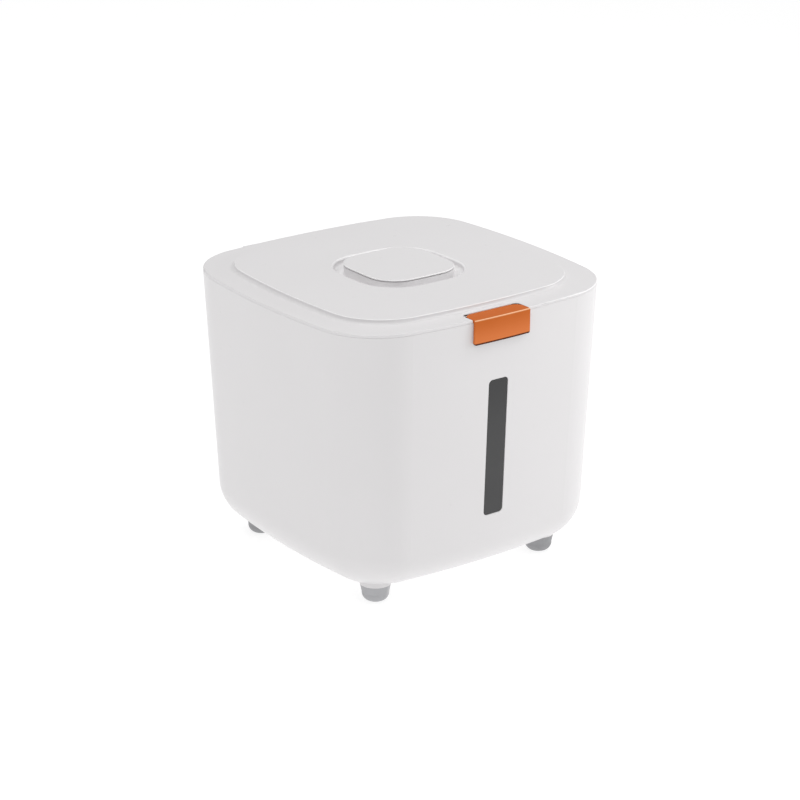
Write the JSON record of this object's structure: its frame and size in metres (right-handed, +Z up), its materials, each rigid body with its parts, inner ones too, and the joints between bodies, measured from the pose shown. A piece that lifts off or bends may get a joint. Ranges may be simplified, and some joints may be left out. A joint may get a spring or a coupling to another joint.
{
  "type": "rice storage container",
  "caption": "Bowed square rice bin on short feet, with a hinged flat lid, a front flip latch, a level window strip and a lift-out knob that carries a sachet basket.",
  "frame": {"origin": "on the floor under the centre of the tub", "axes": "+Z up, -Y towards the front with the latch and window, +X to the right seen from the front"},
  "size_m": [0.26, 0.2688, 0.2352],
  "materials": {
    "white_plastic": "satin moulded polypropylene",
    "orange_plastic": "semi-gloss moulded plastic",
    "smoked_plastic": "smoky polished plastic",
    "grey_rubber": "matt moulded rubber",
    "clear_silicone": "milky moulded silicone",
    "steel": "drawn wire"
  },
  "bodies": {
    "tub": {"tub": "white_plastic", "window_strip": "smoked_plastic", "window_seal": "clear_silicone", "foot_front_left": "grey_rubber", "foot_front_right": "grey_rubber", "foot_rear_left": "grey_rubber", "foot_rear_right": "grey_rubber", "hinge_pin_left": "steel", "hinge_pin_right": "steel"},
    "lid": {"lid_shell": "white_plastic", "knob_well": "white_plastic", "lid_liner": "white_plastic", "lid_seal": "clear_silicone", "liner_screws": "steel", "latch_pin": "steel"},
    "latch": {"latch": "orange_plastic"},
    "knob": {"knob_cap": "white_plastic", "knob_seal": "clear_silicone"},
    "basket": {"desiccant_basket": "white_plastic", "basket_floor": "white_plastic"}
  },
  "joints": [
    {"name": "lid_hinge", "type": "hinge", "parent": "tub", "child": "lid", "pos_m": [0, 0.133, 0.2231], "axis": [-1, 0, 0], "range_deg": [0, 100]},
    {"name": "latch_flip", "type": "hinge", "parent": "lid", "child": "latch", "pos_m": [0, -0.1169, 0.2275], "axis": [-1, 0, 0], "range_deg": [0, 85]},
    {"name": "knob_lift", "type": "slide", "parent": "lid", "child": "knob", "axis": [0, 0, 1], "range_m": [0, 0.055]},
    {"name": "basket_turn", "type": "hinge", "parent": "knob", "child": "basket", "pos_m": [0, 0, 0.2], "axis": [0, 0, 1], "range_deg": [0, 40]}
  ]
}
